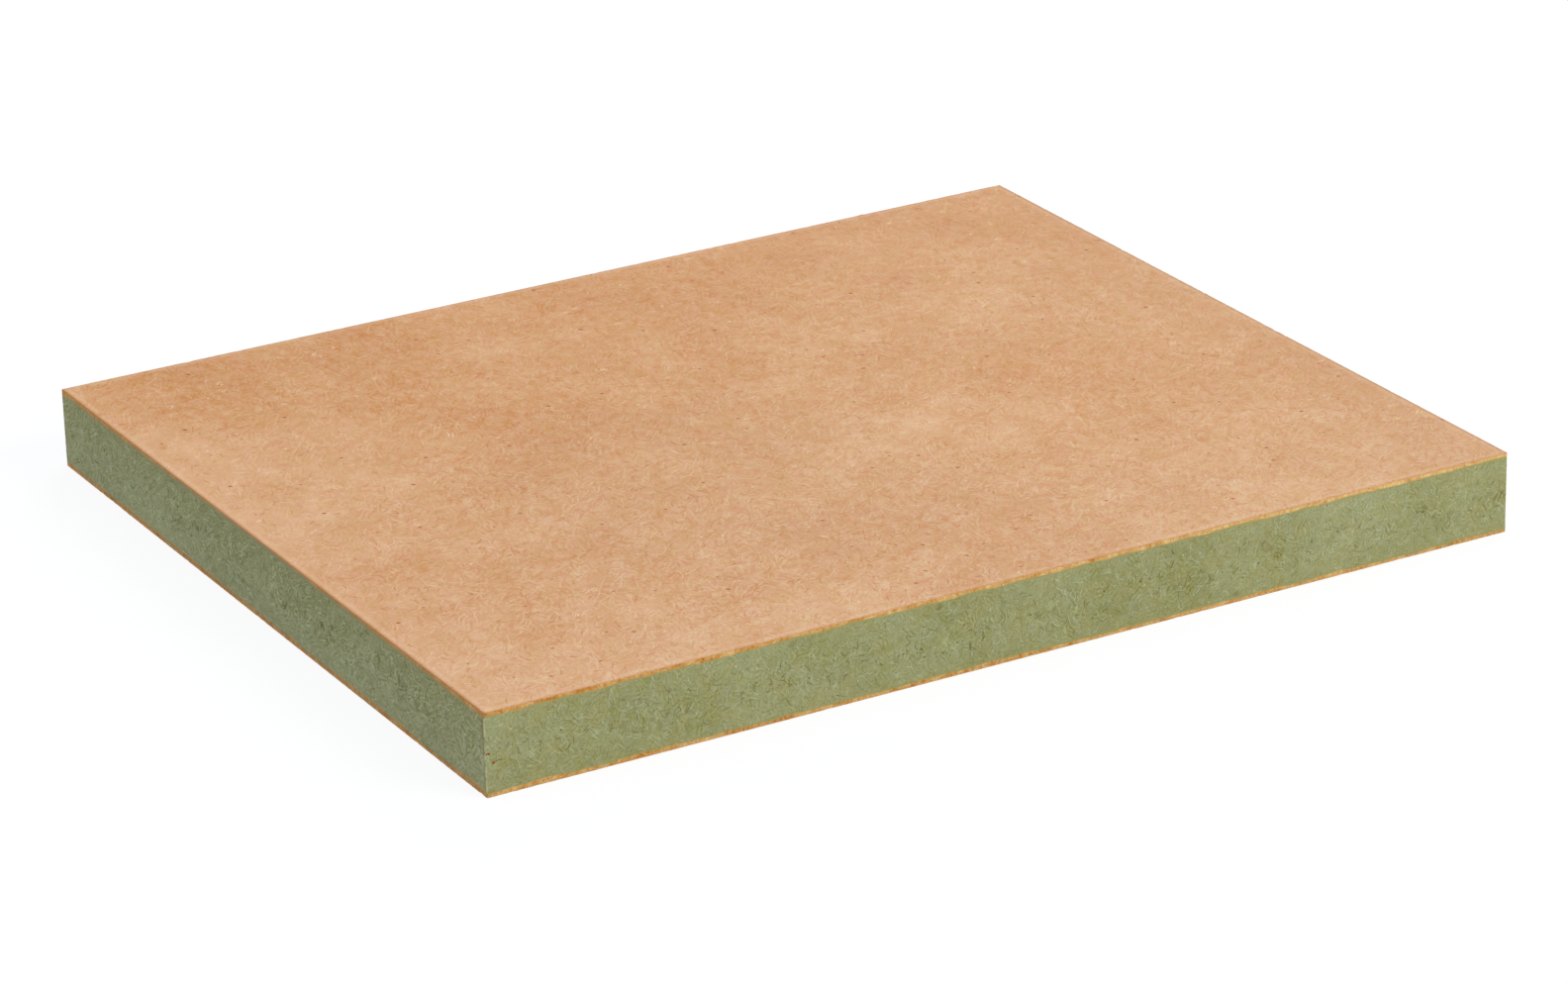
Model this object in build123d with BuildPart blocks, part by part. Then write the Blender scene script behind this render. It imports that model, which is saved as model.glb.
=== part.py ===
from build123d import *

import os

# A cut sample of faced fibreboard, lying flat.
# Three layers are hot-pressed into one board: a thick core of green-dyed, moisture-resistant
# fibre, and a thin sheet of undyed brown fibre on each side. The layers end flush at the four
# sawn edges, where the brown sheets show as stripes above and below the green.
#
# Millimetres, +Z up. The origin is the centre of the underside, and +X runs along the longer side.

# Size of the whole board, both face sheets included
board_length = 240.0
board_width = 200.0
board_thickness = 18.0

# Thickness of one brown face sheet
face_thickness = 1.2

# The saw leaves the corners nearly sharp, and handling rounds them a little
corner_radius = 0.4
arris_radius = 0.2

# The core fills what the two sheets leave
core_thickness = board_thickness - 2 * face_thickness
core_top = face_thickness + core_thickness


# The brown sheet that the board lies on, its lower arris rounded
with BuildPart() as bottom_face_sheet:
    with BuildSketch(Plane.XY):
        RectangleRounded(board_length, board_width, corner_radius)
    extrude(amount=face_thickness)
    fillet(bottom_face_sheet.faces().sort_by(Axis.Z)[0].edges(), arris_radius)

# The green core, bonded face to face between the sheets
with BuildPart() as core_panel:
    with BuildSketch(Plane.XY.offset(face_thickness)):
        RectangleRounded(board_length, board_width, corner_radius)
    extrude(amount=core_thickness)

# The brown sheet on top, its upper arris rounded
with BuildPart() as top_face_sheet:
    with BuildSketch(Plane.XY.offset(core_top)):
        RectangleRounded(board_length, board_width, corner_radius)
    extrude(amount=face_thickness)
    fillet(top_face_sheet.faces().sort_by(Axis.Z)[-1].edges(), arris_radius)


bottom_face_sheet.part.label = "bottom_face_sheet"
core_panel.part.label = "core_panel"
top_face_sheet.part.label = "top_face_sheet"

os.makedirs("parts", exist_ok=True)
for layer in (bottom_face_sheet, core_panel, top_face_sheet):
    export_step(layer.part, f"parts/{layer.part.label}.step")
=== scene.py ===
import math

import bpy
import numpy as np
from mathutils import Matrix, Vector, noise


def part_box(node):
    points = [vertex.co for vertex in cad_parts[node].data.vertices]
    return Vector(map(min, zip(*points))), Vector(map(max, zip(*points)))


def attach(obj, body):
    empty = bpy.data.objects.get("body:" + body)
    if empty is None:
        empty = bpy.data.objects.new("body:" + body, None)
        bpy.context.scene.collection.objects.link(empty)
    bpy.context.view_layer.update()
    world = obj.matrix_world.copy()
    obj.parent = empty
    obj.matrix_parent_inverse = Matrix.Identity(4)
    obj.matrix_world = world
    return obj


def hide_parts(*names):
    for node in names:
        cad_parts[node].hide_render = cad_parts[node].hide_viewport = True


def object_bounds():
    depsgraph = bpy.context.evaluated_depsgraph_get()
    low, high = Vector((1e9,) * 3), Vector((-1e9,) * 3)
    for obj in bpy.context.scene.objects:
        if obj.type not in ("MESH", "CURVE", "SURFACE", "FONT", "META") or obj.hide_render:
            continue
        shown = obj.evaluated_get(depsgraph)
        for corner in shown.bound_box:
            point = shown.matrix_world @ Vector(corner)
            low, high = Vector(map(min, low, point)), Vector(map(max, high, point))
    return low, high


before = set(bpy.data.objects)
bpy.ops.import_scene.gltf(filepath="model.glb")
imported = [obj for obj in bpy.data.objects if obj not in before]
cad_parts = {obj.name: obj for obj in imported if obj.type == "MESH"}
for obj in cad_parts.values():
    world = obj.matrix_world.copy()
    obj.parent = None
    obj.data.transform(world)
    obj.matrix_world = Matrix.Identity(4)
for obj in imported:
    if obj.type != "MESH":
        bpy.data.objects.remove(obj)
low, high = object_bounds()
mm = 0.001

# The camera looks down on the near corner of the board, through a long lens from 1.24 m away.
# It is held a little crooked, and its axis passes a few millimetres beside the board's centre.
lens = 133.6
film_width = 36.0
furthest_seen = 50.0
azimuth = math.radians(-29.48)
elevation = math.radians(22.51)
roll = math.radians(-1.36)
distance = 1.2407
beside_centre = 2.9 * mm
below_centre = 6.9 * mm

away = Vector((
    math.sin(azimuth) * math.cos(elevation),
    -math.cos(azimuth) * math.cos(elevation),
    math.sin(elevation),
))
level = Vector((math.cos(azimuth), math.sin(azimuth), 0))
upright = away.cross(level)
rightward = math.cos(roll) * level + math.sin(roll) * upright
upward = math.cos(roll) * upright - math.sin(roll) * level
aim = (low + high) / 2 + beside_centre * rightward - below_centre * upward

camera = bpy.data.objects.new("camera", bpy.data.cameras.new("camera"))
camera.data.lens = lens
camera.data.sensor_width = film_width
camera.data.clip_end = furthest_seen
camera.matrix_world = (
    Matrix.Translation(aim + distance * away)
    @ Matrix((rightward, upward, away)).transposed().to_4x4()
)
bpy.context.scene.collection.objects.link(camera)
bpy.context.scene.camera = camera
bpy.context.scene.view_settings.view_transform = "Standard"


# The board lies on a white table under soft studio light. The main lamp stands at the right and
# in front, so the long sawn edge is brighter than the short one, which faces a cooler fill.
table_reach = 4.0
gap_under_board = 0.02 * mm
light_gap = 1.0 * mm
table_paint = (0.8, 0.8, 0.8, 1)
white = (1, 1, 1, 1)
table_glow = 1.06
shadow_kept = 0.15


class Wire:
    """An output of one node in a material. Sums on it add Math nodes, and node() adds any other."""

    def __init__(self, tree, socket=None):
        self.tree = tree
        self.socket = socket

    def node(self, kind, settings, sockets, output=None):
        """Adds a node, its settings first, then the value or the link of each socket named."""
        made = self.tree.nodes.new(kind)
        for setting, value in settings.items():
            setattr(made, setting, value)
        for name, value in sockets.items():
            into = next(s for s in made.inputs if s.enabled and name in (s.name, s.identifier))
            if isinstance(value, Wire):
                self.tree.links.new(value.socket, into)
            else:
                into.default_value = value
        given = [s for s in made.outputs if s.enabled and output in (None, s.name)]
        return Wire(self.tree, given[0] if given else None)

    def sum(self, operation, first, second):
        terms = {"Value": first, "Value_001": second}
        return self.node("ShaderNodeMath", {"operation": operation}, terms)

    def __add__(self, other):
        return self.sum("ADD", self, other)

    def __sub__(self, other):
        return self.sum("SUBTRACT", self, other)

    def __rsub__(self, other):
        return self.sum("SUBTRACT", other, self)

    def __mul__(self, other):
        return self.sum("MULTIPLY", self, other)

    def __truediv__(self, other):
        return self.sum("DIVIDE", self, other)

    def __rtruediv__(self, other):
        return self.sum("DIVIDE", other, self)

    __radd__ = __add__
    __rmul__ = __mul__

    def __mod__(self, output):
        """Another output of the same node, by its name."""
        return Wire(self.tree, self.socket.node.outputs[output])

    def sine(self):
        return self.node("ShaderNodeMath", {"operation": "SINE"}, {"Value": self})

    def size(self):
        return self.node("ShaderNodeMath", {"operation": "ABSOLUTE"}, {"Value": self})

    def rise(self, start, end):
        """0 up to start, 1 past end, and a smooth slope between. A fall has start past end."""
        ends = {"Value": self, "From Min": start, "From Max": end}
        return self.node("ShaderNodeMapRange", {"interpolation_type": "SMOOTHSTEP"}, ends)

    def over(self, other):
        """1 where this is more than the other, and 0 elsewhere."""
        return self.sum("GREATER_THAN", self, other)

    def vector(self, operation, other):
        terms = {"Vector": self, "Vector_001": other}
        return self.node("ShaderNodeVectorMath", {"operation": operation}, terms)

    def part(self, axis):
        """The X, Y or Z of a vector."""
        return self.node("ShaderNodeSeparateXYZ", {}, {"Vector": self}, axis)

    def between(self, none, full):
        """The colour none where this is 0, full where it is 1, and their mix between."""
        ends = {"Factor": self, "A": none, "B": full}
        return self.node("ShaderNodeMix", {"data_type": "RGBA"}, ends)

    def blend(self, share, first, second):
        """A shader that is this share of the second, and else the first."""
        terms = {"Fac": share, "Shader": first, "Shader_001": second}
        return self.node("ShaderNodeMixShader", {}, terms)


def new_material(name):
    """An empty node material, and a bare wire into its tree."""
    material = bpy.data.materials.new(name)
    material.use_nodes = True
    material.node_tree.nodes.clear()
    return material, Wire(material.node_tree)


def show(wire, shader):
    """Makes a shader the one that the material shows."""
    wire.node("ShaderNodeOutputMaterial", {}, {"Surface": shader})


floor = bpy.data.objects.new("floor", bpy.data.meshes.new("floor"))
table_top = low.z - gap_under_board
floor.data.from_pydata(
    [
        (-table_reach, -table_reach, table_top),
        (table_reach, -table_reach, table_top),
        (table_reach, table_reach, table_top),
        (-table_reach, table_reach, table_top),
    ],
    [],
    [(0, 1, 2, 3)],
)
bpy.context.scene.collection.objects.link(floor)

# From above the table is white, with a faint shadow. It lets light pass that comes from below, and
# light that has gone less than light_gap from the board, so the underside of the board is lit.
white_table, wire = new_material("white_table")
painted = wire.node("ShaderNodeBsdfDiffuse", {}, {"Color": table_paint})
glowing = wire.node("ShaderNodeEmission", {}, {"Color": white, "Strength": table_glow})
clear = wire.node("ShaderNodeBsdfTransparent", {}, {})
seen = wire.node("ShaderNodeLightPath", {}, {}, "Is Camera Ray")
from_below = wire.node("ShaderNodeNewGeometry", {}, {}, "Backfacing")
gone = wire.node("ShaderNodeLightPath", {}, {}, "Ray Length")
lets_through = wire.sum("MAXIMUM", from_below, gone.rise(light_gap, light_gap * 0.9))
table = wire.blend(seen * (1 - shadow_kept), painted, glowing)
show(wire, wire.blend(lets_through, table, clear))
floor.data.materials.append(white_table)

fill_colour = (0.84, 0.95, 1.16, 1)
fill_strength = 0.5
backdrop_strength = 1.0

studio = bpy.data.worlds.new("studio")
studio.use_nodes = True
studio.node_tree.nodes.clear()
bpy.context.scene.world = studio
wire = Wire(studio.node_tree)
seen = wire.node("ShaderNodeLightPath", {}, {}, "Is Camera Ray")
mirrored = wire.node("ShaderNodeLightPath", {}, {}, "Is Glossy Ray")
through = wire.node("ShaderNodeLightPath", {}, {}, "Is Transmission Ray")
fill = wire.node("ShaderNodeBackground", {}, {"Color": fill_colour, "Strength": fill_strength})
backdrop = wire.node("ShaderNodeBackground", {}, {"Color": white, "Strength": backdrop_strength})
sky = wire.blend(seen + mirrored + through, fill, backdrop)
wire.node("ShaderNodeOutputWorld", {}, {"Surface": sky})


def lamp(name, place, width, power, colour):
    """A square soft box that faces the board."""
    box = bpy.data.lights.new(name, "AREA")
    box.size = width
    box.energy = power
    box.color = colour
    stand = bpy.data.objects.new(name, box)
    stand.location = place
    stand.rotation_euler = (-Vector(place)).to_track_quat("-Z", "Y").to_euler()
    stand.visible_camera = False
    bpy.context.scene.collection.objects.link(stand)


lamp("main_lamp", (0.9, -1.5, 1.3), 1.0, 25.0, (1.0, 0.93, 0.78))
lamp("back_lamp", (0.71, 0.95, 0.5), 0.6, 5.0, (1.0, 1.0, 1.0))
lamp("side_lamp", (-1.7, 0.3, 1.0), 1.2, 6.5, (1.0, 0.97, 1.0))


# The core is green-dyed wood fibre, pressed with resin. The saw leaves it nearly flat, with
# fibres laid bare in curls, small hollows where the fibre is coarse, and slightly rubbed corners.
# Its colour has painted shade in the hollows and a painted highlight down the corners.
core_low, core_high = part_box("core_panel")
board_middle = (low.z + high.z) / 2
half_core = core_high.z - board_middle
long_steps = 600
short_steps = 501
rounding = 0.4 * mm
corner_steps = 6
under_skin = 0.06 * mm
crease = math.radians(50)
hidden_cells = (30, 25)
hidden_margin = 8 * mm
core_rows = 39
hollow_count = 420
deepest_hollow = 0.2 * mm
end_fibre_way = math.radians(24)
end_fibre_stretch = 0.55
# Two bark chips on the front edge, by its left corner: how far in, how high, how wide
corner_chips = ((0.65 * mm, 9.2 * mm, 0.85 * mm), (1.75 * mm, 7.2 * mm, 0.75 * mm))
draw = np.random.default_rng(7)


def walk_round():
    """Stations round the board, anticlockwise from its front left: place, outward way, length, side."""
    across = high - low
    places, ways, sides, shares = [], [], [], []
    corner_x = (low.x, high.x, high.x, low.x)
    corner_y = (low.y, low.y, high.y, high.y)
    for side in range(4):
        heading = side * math.pi / 2
        along = np.array((math.cos(heading), math.sin(heading)))
        out = np.array((along[1], -along[0]))
        start = np.array((corner_x[side], corner_y[side]))
        run = (across.x if side % 2 == 0 else across.y) - 2 * rounding
        steps = long_steps if side % 2 == 0 else short_steps
        for step in range(steps + 1):
            share = step / steps
            places.append(start + along * (rounding + run * share))
            ways.append(out)
            sides.append(side)
            shares.append(share)
        centre = start + along * (rounding + run) - out * rounding
        for step in range(1, corner_steps):
            turn = heading - math.pi / 2 + step / corner_steps * math.pi / 2
            way = np.array((math.cos(turn), math.sin(turn)))
            places.append(centre + way * rounding)
            ways.append(way)
            sides.append(side)
            shares.append(1.0)
    places = np.array(places)
    gaps = np.linalg.norm(np.roll(places, -1, axis=0) - places, axis=1)
    length = np.concatenate(([0], np.cumsum(gaps)))
    return places, np.array(ways), length[:-1], length[-1], np.array(sides), np.array(shares)


outline, outward, along_edge, round_length, side_of, share_of_side = walk_round()
stations = len(outline)


def ripple(shortest, longest, depth):
    """A smooth random wave along the sawn edges, which closes on itself, with this mean depth."""
    waves = 60
    turns = draw.integers(int(round_length / longest), int(round_length / shortest), waves)
    starts = draw.uniform(0, 2 * math.pi, waves)
    heights = draw.normal(size=waves) / np.sqrt(turns)
    angles = 2 * math.pi * along_edge[:, None] / round_length * turns + starts
    wave = (np.sin(angles) * heights).sum(1)
    return wave * depth / wave.std()


# Where the brown sheets meet the core, the line wanders a little and is ragged
lower_seam = core_low.z + ripple(4 * mm, 60 * mm, 0.05 * mm) + ripple(0.9 * mm, 3 * mm, 0.04 * mm)
upper_seam = core_high.z + ripple(4 * mm, 60 * mm, 0.05 * mm) + ripple(0.9 * mm, 3 * mm, 0.04 * mm)


def roughness_of(points, size, octaves):
    """Smooth random numbers, about -1 to 1, that change over about this size."""
    return np.array([noise.fractal(Vector(p) / size, 1.0, 2.0, octaves) for p in points])


def edge_points(heights, hollows=0.0):
    """Points of a sawn edge, one row for each row of heights, sunk under the true edge."""
    rows = len(heights)
    wall = np.empty((rows, stations, 3))
    wall[:, :, :2] = outline
    wall[:, :, 2] = heights
    points = wall.reshape(-1, 3)
    depth = 0.02 * mm + 0.02 * mm * roughness_of(points, 2.5 * mm, 3)
    depth = depth.reshape(rows, stations) + hollows
    wall[:, :, :2] -= outward * (under_skin + depth[:, :, None])
    return wall


def wall_faces(rows):
    """Quads between rows of stations that go once round the board."""
    row, station = np.meshgrid(np.arange(rows - 1), np.arange(stations), indexing="ij")
    after = (station + 1) % stations
    corners = [row * stations + station, row * stations + after]
    corners += [(row + 1) * stations + after, (row + 1) * stations + station]
    return np.stack(corners, -1).reshape(-1, 4)


def cap(ring, cells_long, cells_short, margin, height, first, upward_face):
    """A face inside the ring: a grid of cells whose rim takes several stations to each cell."""
    xs = np.linspace(low.x + margin, high.x - margin, cells_long + 1)
    ys = np.linspace(low.y + margin, high.y - margin, cells_short + 1)
    grid = np.empty((cells_short + 1, cells_long + 1, 3))
    grid[:, :, 0] = xs
    grid[:, :, 1] = ys[:, None]
    grid[:, :, 2] = height
    ids = first + np.arange(grid[:, :, 0].size).reshape(grid.shape[:2])
    rims = (ids[0, :], ids[:, -1], ids[-1, ::-1], ids[::-1, 0])
    cells = np.where(side_of % 2 == 0, cells_long, cells_short)
    nearest = np.rint(share_of_side * cells).astype(int)
    held_by = np.array([rims[side][place] for side, place in zip(side_of, nearest)])
    quads = np.stack([ids[:-1, :-1], ids[:-1, 1:], ids[1:, 1:], ids[1:, :-1]], -1).reshape(-1, 4)
    after = np.roll(np.arange(stations), -1)
    same = held_by == held_by[after]
    wide = np.stack([ring, ring[after], held_by[after], held_by], -1)[~same]
    narrow = np.stack([ring, ring[after], held_by], -1)[same]
    quads = np.concatenate([quads, wide])
    if not upward_face:
        quads, narrow = quads[:, ::-1], narrow[:, ::-1]
    return grid.reshape(-1, 3), quads, narrow


def piece(name, points, quads, triangles, quad_places, triangle_places):
    """A closed mesh with the map that its finish is baked through."""
    mesh = bpy.data.meshes.new(name)
    mesh.from_pydata(points.tolist(), [], quads.tolist() + triangles.tolist())
    laid_out = np.concatenate([quad_places.reshape(-1, 2), triangle_places.reshape(-1, 2)])
    mesh.uv_layers.new(name="OFBake").uv.foreach_set("vector", laid_out.astype(np.float32).ravel())
    mesh.shade_smooth()
    mesh.set_sharp_from_angle(angle=crease)
    made = bpy.data.objects.new(name, mesh)
    bpy.context.scene.collection.objects.link(made)
    return made


def flat_map(points, corners, left, bottom, width):
    """Places on the map for faces that are seen from above, drawn as wide as width."""
    spots = points[corners][..., :2] - np.array((low.x, low.y))
    return np.array((left, bottom)) + spots * (width / (high.x - low.x))


def strip_map(rows, strips_to_a_side, left, bottom, width, height):
    """Places on the map for a wall: each side cut into strips, which lie above each other."""
    row, station = np.meshgrid(np.arange(rows - 1), np.arange(stations), indexing="ij")
    row, station = row.ravel(), station.ravel()
    share = np.minimum((share_of_side * strips_to_a_side).astype(int), strips_to_a_side - 1)
    strip_of = side_of * strips_to_a_side + share
    strips = 4 * strips_to_a_side
    started = np.array([along_edge[strip_of == strip].min() for strip in range(strips)])
    strip = strip_of[station]
    longest = (high.x - low.x) / strips_to_a_side + 3 * mm
    here = (along_edge[station] - started[strip]) / longest
    step = np.append(np.diff(along_edge), round_length - along_edge[-1])[station] / longest
    pitch = height / strips
    row_height = 0.93 * pitch / (rows - 1)
    base = bottom + strip * pitch
    u0, u1 = left + here * width, left + (here + step) * width
    v0, v1 = base + row * row_height, base + (row + 1) * row_height
    return np.stack([np.stack(p, -1) for p in ((u0, v0), (u1, v0), (u1, v1), (u0, v1))], 1)


def core_mesh():
    """The core: sawn walls with hollows between two flat, hidden faces."""
    rows = core_rows
    heights = lower_seam + np.linspace(0, 1, rows)[:, None] * (upper_seam - lower_seam)
    hollows = np.zeros((rows, stations))
    for _ in range(hollow_count):
        place = draw.uniform(0, round_length)
        height = board_middle + draw.normal() * 2.6 * mm
        wide, tall = draw.uniform(0.3, 0.7) * mm, draw.uniform(0.2, 0.45) * mm
        depth = draw.uniform(0.05, 0.22) * mm
        shape = ((along_edge - place) / wide) ** 2 + ((heights - height) / tall) ** 2
        hollows = np.maximum(hollows, depth * np.exp(-shape))
    walls = edge_points(heights, hollows).reshape(-1, 3)
    quads = [wall_faces(rows)]
    places = [strip_map(rows, 2, 0.004, 0.004, 0.9, 0.99)]
    points = [walls]
    triangles, triangle_places = [], []
    for ring, height, upward_face, bottom in (
        (np.arange(stations), core_low.z, False, 0.01),
        (np.arange(stations) + (rows - 1) * stations, core_high.z, True, 0.08),
    ):
        first = sum(len(p) for p in points)
        grid, flat_quads, fans = cap(
            ring, *hidden_cells, hidden_margin, height, first, upward_face
        )
        points.append(grid)
        everything = np.concatenate(points)
        quads.append(flat_quads)
        triangles.append(fans)
        places.append(flat_map(everything, flat_quads, 0.925, bottom, 0.065))
        triangle_places.append(flat_map(everything, fans, 0.925, bottom, 0.065))
    made = piece(
        "core",
        np.concatenate(points),
        np.concatenate(quads),
        np.concatenate(triangles),
        np.concatenate(places),
        np.concatenate(triangle_places),
    )
    sunk = np.zeros(len(made.data.vertices), np.float32)
    sunk[: rows * stations] = (hollows / deepest_hollow).ravel()
    made.data.attributes.new("sunk", "FLOAT", "POINT").data.foreach_set("value", sunk)
    return made


def tint(red, green, blue):
    """A colour as a shader takes it, from the numbers from 0 to 255 that it is known by."""
    return tuple(((c / 255 + 0.055) / 1.055) ** 2.4 for c in (red, green, blue)) + (1,)


shaded_green, bright_green = tint(128, 124, 38), tint(197, 201, 162)
shaded_end_green, bright_end_green = tint(121, 120, 68), tint(202, 202, 155)
bluish_green, brownish_green = tint(141, 151, 130), tint(168, 151, 88)
smeared_brown = tint(212, 160, 90)
corner_highlight_cream, corner_shade_green = tint(226, 210, 152), tint(92, 92, 52)
dent_green, end_dent_green = tint(98, 90, 24), tint(86, 88, 46)
bleached_green = tint(196, 206, 172)
hollow_shade_brown = tint(76, 64, 24)
bark, bark_chip = tint(158, 84, 40), tint(142, 72, 0)
white_fleck = tint(232, 234, 214)


def cloud(place, size, detail, seed, rough=0.5):
    """Soft random clouds, 0 to 1 about 0.5, that change over about this size."""
    elsewhere = place.vector("ADD", (seed * 0.031, seed * 0.023, seed * 0.017))
    sockets = {"Vector": elsewhere, "Scale": 1 / size, "Detail": detail, "Roughness": rough}
    return place.node("ShaderNodeTexNoise", {}, sockets, "Fac")


def curls(place, size, turns, seed, kept):
    """Nested curly lines, -1 to 1: the contours of a cloud, broken up into short strands."""
    line = (cloud(place, size, 1.0, seed, 0.4) * (turns * 2 * math.pi)).sine()
    return line * cloud(place, size * 0.5, 0.0, seed + 3.7).rise(kept, kept + 0.1)


def along_edge_place(place):
    """Length along a sawn edge, and height. On the ends it is turned, so fibres lie more level."""
    x, y, z = (place.part(axis) for axis in "XYZ")
    on_long_side = (y.size() - x.size()).over(high.y - high.x)
    along = y + on_long_side * (x - y) + y.over(0) * 0.7 + x.over(0) * 0.4
    flat = place.node("ShaderNodeCombineXYZ", {}, {"X": along, "Y": z})
    turn = {"Vector": flat, "Angle": end_fibre_way}
    turned = place.node("ShaderNodeVectorRotate", {"rotation_type": "Z_AXIS"}, turn)
    return on_long_side.between(turned.vector("MULTIPLY", (end_fibre_stretch, 1.0, 1.0)), flat)


def cells_of(flat, spacing, output):
    """Cells of this spacing on a flat place, and three chances from 0 to 1 for each."""
    sockets = {"Vector": flat, "Scale": 1 / spacing}
    cell = flat.node("ShaderNodeTexVoronoi", {"voronoi_dimensions": "2D"}, sockets, output)
    return cell, flat.node("ShaderNodeSeparateColor", {}, {"Color": cell % "Color"}, "Red")


def bent_cells(flat, spacing, seed):
    """In each cell a bent grain of its own: how far along it, how far across, and a chance."""
    shifted = flat.vector("ADD", (seed * 0.13, seed * 0.29, 0.0))
    middle, chance = cells_of(shifted, spacing, "Position")
    sockets = {"Vector": middle, "Scale": 1 / (6 * mm), "Detail": 0.0}
    drift = flat.node("ShaderNodeTexNoise", {"noise_dimensions": "2D"}, sockets, "Fac")
    local = shifted.vector("SUBTRACT", middle)
    turn = {"Vector": local, "Angle": drift * 16.0 + chance * 1.5}
    turned = flat.node("ShaderNodeVectorRotate", {"rotation_type": "Z_AXIS"}, turn)
    far, across = turned.part("X"), turned.part("Y")
    bend = ((chance % "Green") - 0.5) * (2.2 / spacing)
    return far, across + far * far * bend, chance % "Blue"


def strands(flat, spacing, width, seed):
    """Short bent fibres, one to a cell: how far each shows, a painted shadow along one side, its shade.
    """
    far, across, own = bent_cells(flat, spacing, seed)
    length = far.size().rise(spacing * 0.6, spacing * 0.35)
    shown = across.size().rise(width * 0.5, width * 0.2) * length
    painted_shadow = (across + width * 0.7).size().rise(width * 0.55, width * 0.15) * length
    return shown, painted_shadow, own


def nests(flat, spacing, pitch, seed):
    """Bent fibres side by side, some to a cell: light and dark lines, -1 to 1."""
    far, across, own = bent_cells(flat, spacing, seed)
    ends = far.size().rise(spacing * 0.55, spacing * 0.2)
    sides = across.size().rise(spacing * 0.6, spacing * 0.2)
    return (across * (2 * math.pi / pitch) + own * 6.0).sine() * ends * sides * own.rise(0.1, 0.7)


def felt(flat, singles, groups, group_strength, shadow_darkness, clear=1.0):
    """Many layers of fibres, each over the one before: their shade about 0, and their height."""
    shade = curls(flat, 3.8 * mm, 6.0, 1.0, 0.44) * 0.26 + curls(flat, 5.5 * mm, 8.0, 9.0, 0.48) * 0.26
    for layer, (spacing, pitch) in enumerate(groups):
        shade = shade + nests(flat, spacing, pitch, layer + 11.0) * group_strength
    height = shade * 0.8
    for layer, (spacing, width) in enumerate(singles):
        shown, painted_shadow, own = strands(flat, spacing, width, layer + 1.0)
        shown, painted_shadow = shown * clear, painted_shadow * clear
        # Each fibre casts a painted shadow along one side, which darkens the layers under it.
        shade = shade * (1 - painted_shadow * 0.6) - painted_shadow * shadow_darkness
        shade = shown * (own * 1.5 - 0.64) + (1 - shown) * shade
        height = height + shown * (own * 1.4 - 0.4) - painted_shadow * 0.3
    return shade, height


def spots(flat, spacing, size, share, seed):
    """Small odd spots: one in a share of the cells of this spacing."""
    shifted = flat.vector("ADD", (seed * 0.17, seed * 0.31, 0.0))
    apart, chance = cells_of(shifted, spacing, "Distance")
    reach = size / spacing * (0.6 + (chance % "Green") * 0.8)
    return (apart / reach).rise(1.0, 0.4) * (share - chance).over(0)


def over_seam(place, above_seam, on_end):
    """1 on the brown side of the ragged line where brown fibre shows, which is higher on the ends."""
    upper = (place.part("Z") - board_middle).over(0)
    bowed = 0.75 - place.part("Y").size() * 8.0
    raised = on_end * upper * bowed * mm
    raised = raised + (1 - upper) * (0.03 * mm + place.part("X") * 0.001 - on_end * 0.22 * mm)
    line = (cloud(place, 6 * mm, 3.0, 71.0, 0.45) - 0.5) * 1.3 * mm + 0.26 * mm + raised
    smeared = 0.2 * mm + on_end * 0.26 * mm
    return ((above_seam - line) / smeared).rise(-1.0, 1.0)


def stain(place, x, z, across):
    """A small soft-edged spot on the front edge of the board, a little longer than it is high."""
    aside, above = (place.part("X") - x) / (across * 0.6), (place.part("Z") - z) / (across * 0.4)
    ragged = cloud(place, 0.5 * mm, 2.0, 75.0) - 0.5
    on_front = place.part("Y").rise(low.y + 2 * mm, low.y + 1 * mm)
    return (aside * aside + above * above + ragged).rise(1.2, 0.5) * on_front


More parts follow.
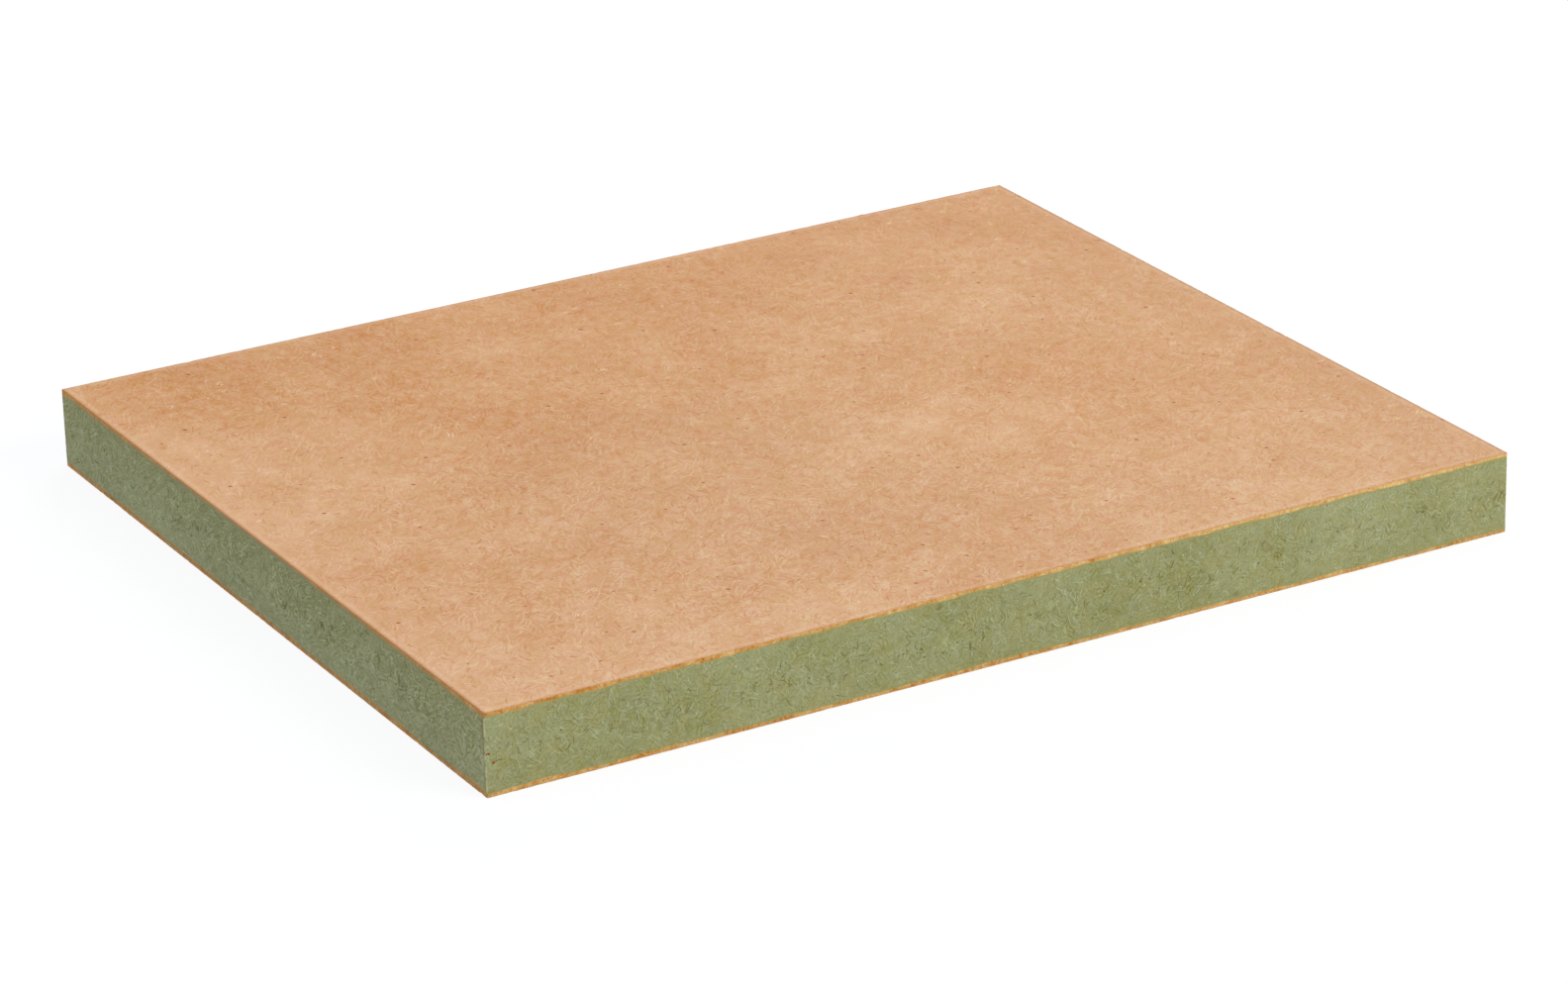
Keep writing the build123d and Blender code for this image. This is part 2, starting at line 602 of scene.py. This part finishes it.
def core_material():
    """Green fibre: curls of pale and olive strands over soft clouds, with dark hollows."""
    material, wire = new_material("green_core")
    place = wire.node("ShaderNodeTexCoord", {}, {}, "Object")
    flat = along_edge_place(place)
    singles = ((1.8 * mm, 0.34 * mm), (2.2 * mm, 0.38 * mm), (2.7 * mm, 0.35 * mm))
    groups = ((3.6 * mm, 1.0 * mm), (4.4 * mm, 0.9 * mm), (2.8 * mm, 0.85 * mm))
    shade, height = felt(flat, singles, groups, 0.34, 0.22)
    from_middle = (place.part("Z") - board_middle).size()
    coarse = from_middle.rise(7.5 * mm, 1.0 * mm)
    on_end = (place.part("X").size() - high.x).rise(-0.3 * mm, -0.2 * mm)
    grain = cloud(flat, 0.3 * mm, 1.0, 2.0) - 0.5
    drift = cloud(flat, 2.2 * mm, 1.0, 4.0) - 0.5
    patches = cloud(place, 14 * mm, 2.0, 6.0) - 0.5
    broad = cloud(place, 60 * mm, 1.0, 8.0) - 0.5
    along_x, along_y = place.part("X"), place.part("Y")
    strand_tone = shade * (0.235 + coarse * 0.1) * (1 + on_end * (0.18 - along_y * 1.5))
    mottle = grain * 0.5 + drift * 0.18 + patches * (0.36 - on_end * 0.24) + broad * (0.25 - on_end * 0.1)
    # On the ends the green is painted darker towards the top and paler towards the bottom: painted shade
    # and light.
    tone_drift_and_end_shade = along_x * 0.4 + on_end * ((board_middle - place.part("Z")) * 14.5 + 0.004)
    tone_drift_and_end_shade = tone_drift_and_end_shade - along_x.rise(80 * mm, 120 * mm) * 0.08
    tone = 0.43 + strand_tone + mottle + tone_drift_and_end_shade
    darkest = on_end.between(shaded_green, shaded_end_green)
    palest = on_end.between(bright_green, bright_end_green)
    colour = tone.between(darkest, palest)
    bluer = cloud(place, 4 * mm, 4.0, 13.0, 0.75).rise(0.3, 0.7)
    colour = (bluer * (0.24 - on_end * 0.14)).between(colour, bluish_green)
    browner = cloud(place, 6 * mm, 3.0, 15.0, 0.65).rise(0.4, 0.7)
    colour = (browner * (0.19 - on_end * 0.15)).between(colour, brownish_green)
    above_seam = from_middle - half_core
    colour = over_seam(place, above_seam, on_end).between(colour, smeared_brown)
    to_end, to_side = high.x - place.part("X").size(), high.y - place.part("Y").size()
    # Down each rubbed corner a pale line is a painted highlight, and beside it on the ends a dark line is
    # painted shade.
    rubbed = to_end.rise(0.42 * mm, 0.2 * mm) * to_side.rise(0.42 * mm, 0.2 * mm)
    rubbed = rubbed * cloud(place, 1.6 * mm, 2.0, 73.0).rise(0.3, 0.55)
    colour = (rubbed * 0.8).between(colour, corner_highlight_cream)
    shade_beside_corner = to_side.rise(0.3 * mm, 0.5 * mm) * to_side.rise(1.6 * mm, 0.7 * mm) * on_end
    colour = (shade_beside_corner * 0.3).between(colour, corner_shade_green)
    shown, _, own = strands(flat, 1.7 * mm, 0.3 * mm, 51.0)
    dents, pale = shown * own.rise(0.8, 0.86), shown * own.rise(0.2, 0.12)
    dent_colour = on_end.between(dent_green, end_dent_green)
    colour = (dents * (0.25 + coarse * 0.35 - on_end * 0.15)).between(colour, dent_colour)
    colour = (pale * 0.45).between(colour, bleached_green)
    sunk = wire.node("ShaderNodeAttribute", {"attribute_name": "sunk"}, {}, "Fac")
    holes = spots(flat, 2.2 * mm, 0.24 * mm, 0.13, 41.0) * coarse
    # The hollows, by their depth, and the small pits are darkened with painted shade.
    colour = (sunk * 0.35 + holes * 0.6).between(colour, hollow_shade_brown)
    colour = (spots(flat, 7.0 * mm, 0.3 * mm, 0.12, 43.0) * 0.8).between(colour, bark)
    colour = (spots(flat, 4.5 * mm, 0.2 * mm, 0.2, 47.0) * 0.5).between(colour, white_fleck)
    for from_end, height_up, across in corner_chips:
        chip = stain(place, low.x + from_end, low.z + height_up, across)
        colour = (chip * 0.9).between(colour, bark_chip)
    relief = height + grain * 0.8 + drift - holes * 1.5 - dents * 0.6 + pale * 0.6
    normal = wire.node("ShaderNodeBump", {}, {"Strength": 1.0, "Distance": 0.045 * mm, "Height": relief})
    show(wire, wire.node("ShaderNodeBsdfPrincipled", {}, {
        "Base Color": colour,
        "Roughness": 0.9 - height * 0.03,
        "Normal": normal,
        "Specular IOR Level": 0.2,
    }))
    return material


core = core_mesh()
core.data.materials.append(core_material())
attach(core, "root")
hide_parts("core_panel")


# Each face is a thin sheet of undyed brown fibre, hot-pressed onto the core and sawn with it.
# Its plies show on the sawn edge, and its outer arris is rubbed round, with small chips.
wall_rows = 5
arris_rows = 4
chip_count = 46
sharpest_arris = 0.06 * mm
bluntest_arris = 0.5 * mm
shelf_width = 0.3 * mm
face_cells = (200, 167)
face_margin = 1.2 * mm
fibre_way = math.radians(-60)
fibre_stretch = 0.63
shaded_brown, bright_brown = tint(199, 119, 16), tint(229, 193, 147)
pale_patch_and_lit_brown, dark_patch_and_shaded_brown = tint(252, 204, 156), tint(178, 134, 94)
pinkish_brown, ochre_brown, ruddy_brown = tint(217, 179, 166), tint(206, 152, 84), tint(220, 157, 121)
rim_brown, arris_highlight_brown, arris_brown = tint(236, 189, 146), tint(244, 208, 170), tint(172, 110, 36)
dent_brown, bleached_brown = tint(186, 98, 0), tint(244, 214, 172)
brown_bark, cream_fleck = tint(158, 72, 0), tint(250, 240, 222)
shaded_ply, bright_ply = tint(187, 116, 14), tint(242, 203, 134)
lower_end_brown, upper_end_brown = tint(156, 100, 48), tint(168, 126, 66)
crack_brown, lowest_brown = tint(140, 84, 34), tint(224, 184, 126)
seam_green, end_seam_green = tint(160, 156, 98), tint(142, 139, 96)
# Three broad patches where the face is paler or darker: where, how far, how much
broad_patches = (
    (65 * mm, -30 * mm, 60 * mm, 0.16),
    (-30 * mm, -25 * mm, 65 * mm, -0.15),
    (-80 * mm, 95 * mm, 50 * mm, -0.12),
)


def face_mesh(name, seam, outer, up, rub):
    """A sheet from its seam with the core to its outer face, with an arris rubbed about this much."""
    rubbed = rub + ripple(0.9 * mm, 6 * mm, 0.02 * mm)
    for _ in range(chip_count):
        place = draw.uniform(0, round_length)
        depth = draw.uniform(0.04, 0.2) * mm
        width = draw.uniform(0.4, 1.0) * mm
        rubbed += depth * np.exp(-((along_edge - place) / width) ** 2)
    rubbed = np.clip(rubbed, sharpest_arris, bluntest_arris)
    top = outer - up * under_skin
    wall_end = top - up * rubbed
    heights = seam + np.linspace(0, 1, wall_rows)[:, None] * (wall_end - seam)
    walls = edge_points(heights)
    rim = walls[-1]
    rows = list(walls)
    for step in range(1, arris_rows + 1):
        turn = step / arris_rows * math.pi / 2
        inward = rubbed * (1 - math.cos(turn))
        row = rim.copy()
        row[:, :2] -= outward * inward[:, None]
        row[:, 2] = wall_end + up * rubbed * math.sin(turn)
        rows.append(row)
    shelf = rows[-1].copy()
    shelf[:, :2] -= outward * shelf_width
    shelf[:, 2] -= up * (0.006 * mm + 0.006 * mm * roughness_of(shelf, 3 * mm, 3))
    rows.append(shelf)
    walls = np.array(rows)
    count = len(rows)
    if up < 0:
        walls = walls[::-1]
    points = [walls.reshape(-1, 3)]
    quads = [wall_faces(count)]
    places = [strip_map(count, 1, 0.004, 0.84, 0.99, 0.1)]
    triangles, triangle_places = [], []
    for is_outer, cells, margin, left, bottom, width in (
        (True, face_cells, face_margin, 0.004, 0.004, 0.992),
        (False, hidden_cells, hidden_margin, 0.01, 0.945, 0.06),
    ):
        last = is_outer == (up > 0)
        ring = np.arange(stations) + (count - 1) * stations * last
        first = sum(len(p) for p in points)
        height = top if is_outer else seam.mean()
        grid, flat_quads, fans = cap(ring, *cells, margin, height, first, last)
        if is_outer:
            grid[:, 2] -= up * (0.012 * mm + 0.012 * mm * roughness_of(grid, 4 * mm, 3))
        points.append(grid)
        everything = np.concatenate(points)
        quads.append(flat_quads)
        triangles.append(fans)
        places.append(flat_map(everything, flat_quads, left, bottom, width))
        triangle_places.append(flat_map(everything, fans, left, bottom, width))
    return piece(
        name,
        np.concatenate(points),
        np.concatenate(quads),
        np.concatenate(triangles),
        np.concatenate(places),
        np.concatenate(triangle_places),
    )


def soft_patch(place, x, y, reach):
    """1 at this place on the board, falling to 0 at this distance from it."""
    away_x, away_y = place.part("X") - x, place.part("Y") - y
    return ((away_x * away_x + away_y * away_y) / reach**2).rise(1.0, 0.0)


def brown_material():
    """Brown fibre: faint curls that lie mostly slantwise, and plies with cracks on the sawn edge."""
    material, wire = new_material("brown_face")
    place = wire.node("ShaderNodeTexCoord", {}, {}, "Object")
    normal_way = wire.node("ShaderNodeNewGeometry", {}, {}, "True Normal")
    on_edge = normal_way.part("Z").size().rise(0.75, 0.2)
    upper = place.part("Z").over(board_middle)
    along_x, along_y = place.part("X"), place.part("Y")
    coarser_behind = {"X": along_x * 0.9, "Y": along_y * (0.82 - along_y * 0.7)}
    spread = wire.node("ShaderNodeCombineXYZ", {}, coarser_behind)
    turn = {"Vector": spread, "Angle": fibre_way}
    turned = wire.node("ShaderNodeVectorRotate", {"rotation_type": "Z_AXIS"}, turn)
    lying = turned.vector("MULTIPLY", (fibre_stretch, 1.0, 0.0))
    lying = lying.vector("ADD", wire.node("ShaderNodeCombineXYZ", {}, {"X": upper * 0.9}))
    lying = on_edge.between(lying, along_edge_place(place))
    singles = ((2.4 * mm, 0.42 * mm), (1.9 * mm, 0.36 * mm), (3.2 * mm, 0.40 * mm))
    groups = ((3.8 * mm, 1.0 * mm), (5.0 * mm, 0.9 * mm), (3.0 * mm, 0.8 * mm))
    clear = on_edge + (1 - on_edge) * (0.9 - along_y * 1.8 - along_x * 0.9)
    shade, height = felt(lying, singles, groups, 0.26, 0.28, clear)
    shade, height = shade * clear, height * clear
    grain = (cloud(lying, 0.35 * mm, 1.0, 22.0) - 0.5) * clear
    drift = cloud(place, 2.4 * mm, 1.0, 24.0) - 0.5
    patches = cloud(place, 16 * mm, 3.0, 26.0) - 0.5
    broad = cloud(place, 70 * mm, 1.0, 28.0) - 0.5
    tone = 0.53 + shade * 0.55 + grain * 0.4 + drift * 0.68 + (patches + broad) * 0.44 - along_y * 1.5
    face_colour = tone.between(shaded_brown, bright_brown)
    # Soft paler and darker patches, plus painted light: the face is painted paler towards the left end
    # and darker towards the right.
    patches_and_painted_light = (patches + broad) * 0.52 - along_x * 1.5 - 0.02
    for x, y, reach, paler in broad_patches:
        patches_and_painted_light = patches_and_painted_light + soft_patch(place, x, y, reach) * paler
    face_colour = patches_and_painted_light.between(face_colour, pale_patch_and_lit_brown)
    face_colour = (patches_and_painted_light * -1.0).between(face_colour, dark_patch_and_shaded_brown)
    pinker = (along_y + along_x * 0.4).rise(50 * mm, -110 * mm)
    face_colour = (pinker * 0.07).between(face_colour, pinkish_brown)
    rim_paler = along_x.rise(low.x + 22 * mm, low.x) * along_y.rise(90 * mm, 20 * mm)
    face_colour = (rim_paler * 0.3).between(face_colour, rim_brown)
    ochre = cloud(lying, 7 * mm, 4.0, 30.0, 0.7).rise(0.3, 0.7)
    face_colour = (ochre * 0.45).between(face_colour, ochre_brown)
    ruddy = cloud(lying, 2.5 * mm, 4.0, 35.0, 0.75).rise(0.35, 0.65)
    face_colour = (ruddy * 0.35).between(face_colour, ruddy_brown)
    shown, _, own = strands(lying, 1.5 * mm, 0.34 * mm, 55.0)
    dents, pale = shown * own.rise(0.82, 0.89), shown * own.rise(0.12, 0.06)
    face_colour = (dents * clear * 0.42).between(face_colour, dent_brown)
    face_colour = (pale * clear * 0.2).between(face_colour, bleached_brown)
    chips = spots(lying.vector("MULTIPLY", (1.3, 0.6, 1.0)), 5 * mm, 0.27 * mm, 0.2, 61.0)
    face_colour = (chips * 0.85).between(face_colour, brown_bark)
    flecks = spots(lying, 5 * mm, 0.2 * mm, 0.2, 67.0)
    face_colour = (flecks * 0.4).between(face_colour, cream_fleck)
    squash = place.vector("MULTIPLY", (0.25, 0.25, 4.0))
    plies = cloud(squash, 1.0 * mm, 2.0, 31.0) - 0.5
    crossing = place.vector("MULTIPLY", (1.0, 1.0, 0.35))
    cracks = cloud(crossing, 0.8 * mm, 1.0, 33.0)
    stretches = cloud(place, 4 * mm, 2.0, 37.0) - 0.5
    edge_tone = plies * 0.8 + grain * 0.5 + shade * 0.3 + (cracks - 0.5) * 0.95 + stretches
    edge_tone = edge_tone + 0.44 + upper * 0.05 + along_x * (0.2 + upper * 1.8)
    edge_colour = edge_tone.between(shaded_ply, bright_ply)
    on_end = (place.part("X").size() - high.x).rise(-0.4 * mm, -0.25 * mm)
    end_brown = upper.between(lower_end_brown, upper_end_brown)
    edge_colour = (on_end * 0.35).between(edge_colour, end_brown)
    edge_colour = (cracks.rise(0.7, 0.74) * 0.6).between(edge_colour, crack_brown)
    above_seam = (place.part("Z") - board_middle).size() - half_core
    green = on_end.between(seam_green, end_seam_green)
    edge_colour = over_seam(place, above_seam, on_end).between(green, edge_colour)
    colour = on_edge.between(face_colour, edge_colour)
    to_end, to_side = high.x - along_x.size(), high.y - along_y.size()
    from_arris = wire.sum("MINIMUM", to_end, to_side)
    # A pale band just inside the arris on each face is a painted highlight.
    arris_highlight = from_arris.rise(0.4 * mm, 0.8 * mm) * from_arris.rise(2.4 * mm, 1.2 * mm)
    colour = (arris_highlight * (1 - on_edge) * 0.17).between(colour, arris_highlight_brown)
    arris = from_arris.rise(0.5 * mm, 0.2 * mm) * 0.22 + to_end.rise(1.1 * mm, 0.1 * mm) * 0.5
    arris = arris * above_seam.rise(0.9 * mm, 1.0 * mm) * upper
    colour = arris.between(colour, arris_brown)
    lowest = above_seam.rise(0.8 * mm, 1.0 * mm) * (1 - upper) * on_edge * (1 - on_end)
    colour = (lowest * 0.2).between(colour, lowest_brown)
    relief = height + grain * 0.8 + drift - dents * 0.4 + pale * 0.6
    normal = wire.node("ShaderNodeBump", {}, {"Strength": 1.0, "Distance": 0.014 * mm, "Height": relief})
    show(wire, wire.node("ShaderNodeBsdfPrincipled", {}, {
        "Base Color": colour,
        "Roughness": 0.75 - height * 0.02,
        "Normal": normal,
        "Specular IOR Level": 0.35,
    }))
    return material


brown = brown_material()
for name, node, seam, outer, up, rub in (
    ("top_face", "top_face_sheet", upper_seam, high.z, 1, 0.16 * mm),
    ("bottom_face", "bottom_face_sheet", lower_seam, low.z, -1, 0.1 * mm),
):
    sheet = face_mesh(name, seam, outer, up, rub)
    sheet.data.materials.append(brown)
    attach(sheet, "root")
    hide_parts(node)


# Loose fibres lie half sunk in the faces and the sawn edges, singly and combed into small tufts.
# They are the fibre of the layer that they lie in, bleached or stained a little more than the rest.
tufts = 1100
tuft_pitch = 0.36 * mm
shortest_fibre = 1.0 * mm
longest_fibre = 3.2 * mm
points_to_a_fibre = 7
sides_to_a_fibre = 3
rings_to_a_fibre = points_to_a_fibre - 2
corners_to_a_fibre = 2 + sides_to_a_fibre * rings_to_a_fibre
half_thickness = (0.085, 0.155)
flatness = 0.37
stained_green, pale_green = tint(118, 112, 40), tint(188, 196, 156)
stained_brown, pale_brown = tint(209, 148, 88), tint(242, 208, 166)
thickness_along = np.array((0.55, 0.9, 1.0, 0.9, 0.55))


def fibre_lines(across, up, crowd):
    """Middle lines of fibres on a sheet that is across by up: places, and how dark each fibre is."""
    lines, tones = [], []
    for _ in range(tufts):
        centre = np.array((draw.uniform(0, across), up / 2 + crowd()))
        heading, bend = draw.uniform(0, 2 * math.pi), draw.normal() * 0.5 / mm
        tone = draw.uniform()
        members = draw.integers(1, 5)
        sideways = np.array((-math.sin(heading), math.cos(heading)))
        for member in range(members):
            long = draw.uniform(shortest_fibre, longest_fibre)
            along = np.linspace(-0.5, 0.5, points_to_a_fibre) * long
            way = heading + draw.normal() * 0.07 + bend * along
            way = way + draw.normal() * 0.1 / mm**2 * along**2
            steps = np.stack((np.cos(way), np.sin(way)), -1) * (long / (points_to_a_fibre - 1))
            aside = sideways * (member - members / 2) * tuft_pitch + draw.normal(size=2) * 0.15 * mm
            line = centre + aside + np.cumsum(steps, 0) - steps.sum(0) / 2
            if line[:, 1].min() > 0 and line[:, 1].max() < up:
                lines.append(line)
                tones.append(np.clip(tone + draw.normal() * 0.2, 0, 1))
    return np.array(lines), np.array(tones)


def fibres(name, lines, tones, lay):
    """Slender closed tubes on these lines, three-sided and pointed. lay puts each on the board."""
    count = len(lines)
    thick = draw.uniform(*half_thickness, count) * mm
    ways = np.gradient(lines, axis=1)
    ways /= np.linalg.norm(ways, axis=2, keepdims=True)
    beside = np.stack((-ways[:, :, 1], ways[:, :, 0]), -1)
    radius = thick[:, None] * thickness_along
    points = np.empty((count, corners_to_a_fibre, 3))
    points[:, 0, :2], points[:, 1, :2] = lines[:, 0], lines[:, -1]
    points[:, :2, 2] = 0
    for side in range(sides_to_a_fibre):
        angle = math.pi / 2 + side * 2 * math.pi / sides_to_a_fibre
        ring = points[:, 2 + side :: sides_to_a_fibre]
        ring[:, :, :2] = lines[:, 1:-1] + beside[:, 1:-1] * (radius * math.cos(angle))[:, :, None]
        ring[:, :, 2] = radius * math.sin(angle) * flatness
    faces, on_map = [], []
    last_ring = corners_to_a_fibre - sides_to_a_fibre
    for side in range(sides_to_a_fibre):
        after = (side + 1) % sides_to_a_fibre
        faces.append((0, 2 + after, 2 + side, 2 + side))
        on_map.append(((0, side + 0.5), (1, side + 1), (1, side), (1, side)))
        for ring in range(1, rings_to_a_fibre):
            here = 2 + sides_to_a_fibre * (ring - 1)
            there = here + sides_to_a_fibre
            faces.append((here + side, here + after, there + after, there + side))
            on_map.append(((ring, side), (ring, side + 1), (ring + 1, side + 1), (ring + 1, side)))
        faces.append((1, last_ring + side, last_ring + after, last_ring + after))
        tip, base = rings_to_a_fibre + 1, rings_to_a_fibre
        on_map.append(((tip, side + 0.5), (base, side), (base, side + 1), (base, side + 1)))
    faces = np.array(faces) + corners_to_a_fibre * np.arange(count)[:, None, None]
    cells = math.ceil(math.sqrt(count))
    corner = np.stack((np.arange(count) % cells, np.arange(count) // cells), -1) / cells
    laid_out = np.array(on_map) / (points_to_a_fibre - 1, sides_to_a_fibre) * 0.84 / cells
    laid_out = laid_out + corner[:, None, None] + 0.08 / cells
    faces, laid_out = faces.reshape(-1, 4), laid_out.reshape(-1, 4, 2)
    pointed = faces[:, 2] == faces[:, 3]
    made = piece(
        name,
        lay(points.reshape(-1, 3)),
        faces[~pointed],
        faces[pointed, :3],
        laid_out[~pointed],
        laid_out[pointed, :3],
    )
    shades = np.repeat(tones, corners_to_a_fibre).astype(np.float32)
    made.data.attributes.new("shade", "FLOAT", "POINT").data.foreach_set("value", shades)
    return made


def fibre_material(name, darkest, palest):
    """A fibre's own shade, mottled along its length, with a dull and slightly rough skin."""
    material, wire = new_material(name)
    place = wire.node("ShaderNodeTexCoord", {}, {}, "Object")
    mottled = cloud(place, 0.4 * mm, 2.0, 81.0) - 0.5
    shade = wire.node("ShaderNodeAttribute", {"attribute_name": "shade"}, {}, "Fac") + mottled
    normal = wire.node("ShaderNodeBump", {}, {"Strength": 0.5, "Distance": 0.02 * mm, "Height": mottled})
    show(wire, wire.node("ShaderNodeBsdfPrincipled", {}, {
        "Base Color": shade.between(darkest, palest),
        "Roughness": 0.8 + mottled * 0.2,
        "Normal": normal,
        "Specular IOR Level": 0.25,
    }))
    return material


def on_edges(points):
    """Points given as distance round the board, height, and how far out of the sawn edge."""
    around = np.mod(points[:, 0], round_length)
    known = np.append(along_edge, round_length)
    flat = [np.interp(around, known, np.append(column, column[0])) for column in (*outline.T, *outward.T)]
    out = points[:, 2] - under_skin - 0.01 * mm
    return np.stack((flat[0] + flat[2] * out, flat[1] + flat[3] * out, points[:, 1] + core_low.z), -1)


def on_top(points):
    """Points of a sheet laid on the top of the board."""
    return points + (low.x, low.y, high.z - under_skin)


def on_underside(points):
    """Points of a sheet laid on the underside, face down."""
    return points * (1, -1, -1) + (low.x, high.y, low.z + under_skin)


edge_span = (round_length, core_high.z - core_low.z)
face_span = (high.x - low.x, high.y - low.y)


def near_middle():
    """How far above the middle of the sawn edge a tuft lies. Most lie where the core is coarse."""
    return draw.normal() * 4 * mm


def anywhere():
    """How far from the middle of a face a tuft lies."""
    return draw.uniform(-0.5, 0.5) * face_span[1]


green_fibre = fibre_material("green_fibre", stained_green, pale_green)
brown_fibre = fibre_material("brown_fibre", stained_brown, pale_brown)
for name, span, crowd, lay, material, slot in (
    ("edge_fibres", edge_span, near_middle, on_edges, green_fibre, "green_core"),
    ("top_fibres", face_span, anywhere, on_top, brown_fibre, "brown_face"),
    ("underside_fibres", face_span, anywhere, on_underside, brown_fibre, "brown_face"),
):
    lines, tones = fibre_lines(*span, crowd)
    if lay is not on_edges:
        inside = (lines[:, :, 0].min(1) > 0) & (lines[:, :, 0].max(1) < span[0])
        lines, tones = lines[inside], tones[inside]
    made = fibres(name, lines, tones, lay)
    made.data.materials.append(material)
    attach(made, "root")
